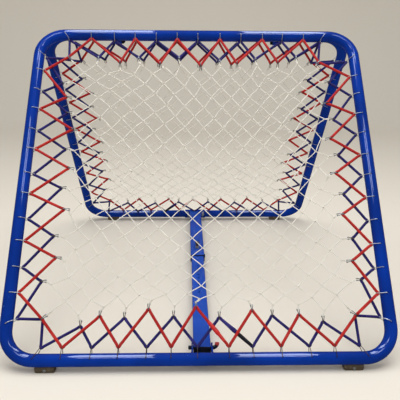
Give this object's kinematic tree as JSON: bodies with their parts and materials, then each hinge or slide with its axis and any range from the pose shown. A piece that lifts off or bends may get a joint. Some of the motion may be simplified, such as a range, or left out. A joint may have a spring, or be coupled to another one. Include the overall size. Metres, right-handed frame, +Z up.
{
  "type": "pitch back rebounder",
  "caption": "Rebounder of two square tube rings with elastic-laced nets, hinged along the top into an A-frame and set by a telescopic floor strut.",
  "frame": {"origin": "on the floor, in the middle of the footprint of the open A-frame", "axes": "+Z up, +Y from the front ring to the back ring, +X to the right of someone facing the front ring"},
  "size_m": [1, 1.227, 0.8221],
  "materials": {
    "ring_paint": "gloss powder coat",
    "strut_paint": "gloss powder coat",
    "net_twine": "braided twine",
    "red_elastic": "woven sleeve",
    "blue_elastic": "woven sleeve",
    "red_sleeve": "soft plastic sleeve",
    "black_tape": "wound tape",
    "galvanised_wire": "galvanised",
    "hook_steel": "dull steel",
    "foot_rubber": "matte rubber",
    "zinc_steel": "zinc plated",
    "plunger_brass": "worn brass",
    "black_plastic": "matte"
  },
  "bodies": {
    "front_frame": {"front_ring": "ring_paint", "front_hinge_ears": "strut_paint", "front_left_foot": "foot_rubber", "front_right_foot": "foot_rubber", "front_net": "net_twine", "front_red_elastic": "red_elastic", "front_blue_elastic": "blue_elastic", "front_red_splice": "red_sleeve", "front_blue_splice": "black_tape", "front_wire_ties": "galvanised_wire", "front_net_hooks": "hook_steel", "front_strut_bracket": "strut_paint", "hinge_bolts": "zinc_steel", "hinge_nuts": "zinc_steel"},
    "back_frame": {"back_ring": "ring_paint", "back_hinge_ears": "strut_paint", "back_left_foot": "foot_rubber", "back_right_foot": "foot_rubber", "back_net": "net_twine", "back_red_elastic": "red_elastic", "back_blue_elastic": "blue_elastic", "back_red_splice": "red_sleeve", "back_blue_splice": "black_tape", "back_wire_ties": "galvanised_wire", "back_net_hooks": "hook_steel", "back_strut_bracket": "strut_paint", "back_pivot_bolt": "zinc_steel", "back_pivot_nut": "zinc_steel"},
    "strut_sleeve": {"strut_sleeve": "strut_paint", "sleeve_collar": "black_plastic", "sleeve_cap": "black_plastic", "lock_boss": "strut_paint"},
    "strut_bar": {"strut_bar": "strut_paint", "bar_cap": "black_plastic"},
    "lock_plunger": {"lock_plunger": "plunger_brass"},
    "release_pin": {"release_pin": "zinc_steel"}
  },
  "joints": [
    {"name": "frame_fold", "type": "hinge", "parent": "front_frame", "child": "back_frame", "pos_m": [0, 0, 0.79007], "axis": [1, 0, 0], "range_deg": [-24.13, 0]},
    {"name": "strut_swing", "type": "hinge", "parent": "back_frame", "child": "strut_sleeve", "pos_m": [0.005, 0.55794, 0.03605], "axis": [1, 0, 0], "range_deg": [0, 12.1]},
    {"name": "strut_slide", "type": "slide", "parent": "strut_sleeve", "child": "strut_bar", "axis": [0, 1, 0], "range_m": [0, 0.3385]},
    {"name": "lock_plunge", "type": "slide", "parent": "strut_sleeve", "child": "lock_plunger", "axis": [0, 0, 1], "range_m": [-0.006, 0]},
    {"name": "pin_pull", "type": "slide", "parent": "front_frame", "child": "release_pin", "axis": [1, 0, 0], "range_m": [0, 0.07]}
  ],
  "couplings": [
    {"joint": "strut_swing", "follows": "frame_fold", "ratio": -0.5},
    {"joint": "strut_slide", "follows": "frame_fold", "m_per_rad": -0.8026}
  ]
}
